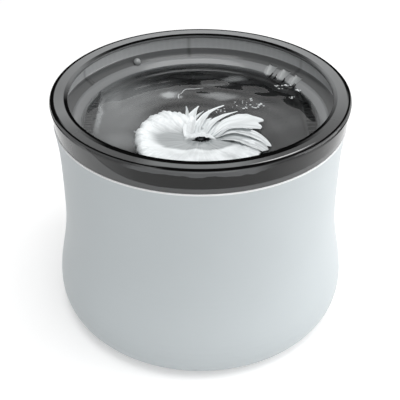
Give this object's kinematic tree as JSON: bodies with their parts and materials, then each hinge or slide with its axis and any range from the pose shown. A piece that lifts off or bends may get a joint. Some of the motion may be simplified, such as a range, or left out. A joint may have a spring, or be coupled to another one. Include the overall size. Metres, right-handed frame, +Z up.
{
  "type": "pet water fountain",
  "caption": "Round pet water fountain with a waisted white base, a pump in a ring filter, a stepped dark drinking dish with side drains and a see-through splash ring.",
  "frame": {"origin": "on the floor, under the middle of the round base", "axes": "+Z up through the rim; -Y towards the front, the side that the outlet is nearest to; +X to the right of someone who looks at the front"},
  "size_m": [0.211, 0.211, 0.166],
  "materials": {
    "casing_white": "satin moulded",
    "tank_white": "smooth moulded",
    "cover_white": "finely textured",
    "cage_white": "smooth moulded",
    "ring_smoke": "polished, see-through",
    "dish_smoke": "polished",
    "nozzle_black": "satin moulded",
    "riser_clear": "clear extruded",
    "carbon_cloth": "pleated cloth",
    "pump_black": "finely textured",
    "volute_black": "smooth moulded",
    "intake_black": "smooth moulded",
    "slider_grey": "smooth moulded",
    "impeller_white": "smooth moulded",
    "magnet_ferrite": "ground",
    "shaft_ceramic": "polished",
    "core_steel": "stacked sheets",
    "coil_copper": "wound enamelled wire",
    "screw_steel": "plated",
    "foot_rubber": "matt",
    "gland_rubber": "matt",
    "seal_rubber": "matt",
    "bush_rubber": "matt",
    "cup_rubber": "matt",
    "sponge_foam": "open-celled foam",
    "water_clear": "still and rippled water",
    "water_foam": "aerated water"
  },
  "bodies": {
    "base": {"outer_shell": "casing_white", "inner_tank": "tank_white", "base_plate": "cover_white", "base_screws": "screw_steel", "rubber_feet": "foot_rubber", "lead_grommet": "gland_rubber", "riser_tube": "riser_clear", "pump_housing": "pump_black", "stator_core": "core_steel", "stator_coil": "coil_copper", "rotor_shaft": "shaft_ceramic", "shaft_bushes": "bush_rubber", "volute": "volute_black", "volute_seal": "seal_rubber", "suction_cups": "cup_rubber"},
    "tray": {"drinking_dish": "dish_smoke"},
    "ring": {"top_ring": "ring_smoke"},
    "nozzle": {"water_nozzle": "nozzle_black", "nozzle_o_ring": "seal_rubber"},
    "filter": {"filter_cage": "cage_white", "filter_core": "cage_white", "filter_media": "carbon_cloth", "filter_lid": "cage_white"},
    "rotor": {"rotor_magnet": "magnet_ferrite", "impeller": "impeller_white"},
    "cover": {"intake_cover": "intake_black", "intake_sponge": "sponge_foam"},
    "slider": {"flow_slider": "slider_grey"}
  },
  "joints": [
    {"name": "tray_lift", "type": "slide", "parent": "base", "child": "tray", "axis": [0, 0, 1], "range_m": [0, 0.07]},
    {"name": "ring_lift", "type": "slide", "parent": "tray", "child": "ring", "axis": [0, 0, 1], "range_m": [0, 0.03]},
    {"name": "nozzle_lift", "type": "slide", "parent": "tray", "child": "nozzle", "axis": [0, 0, 1], "range_m": [0, 0.025]},
    {"name": "filter_lift", "type": "slide", "parent": "base", "child": "filter", "axis": [0, 0, 1], "range_m": [0, 0.045]},
    {"name": "impeller_spin", "type": "hinge", "parent": "base", "child": "rotor", "pos_m": [0, -0.032, 0.038], "axis": [0, 1, 0], "continuous": true},
    {"name": "cover_pull", "type": "slide", "parent": "base", "child": "cover", "axis": [0, -1, 0], "range_m": [0, 0.004]},
    {"name": "flow_slide", "type": "slide", "parent": "cover", "child": "slider", "axis": [1, 0, 0], "range_m": [0, 0.009]}
  ]
}
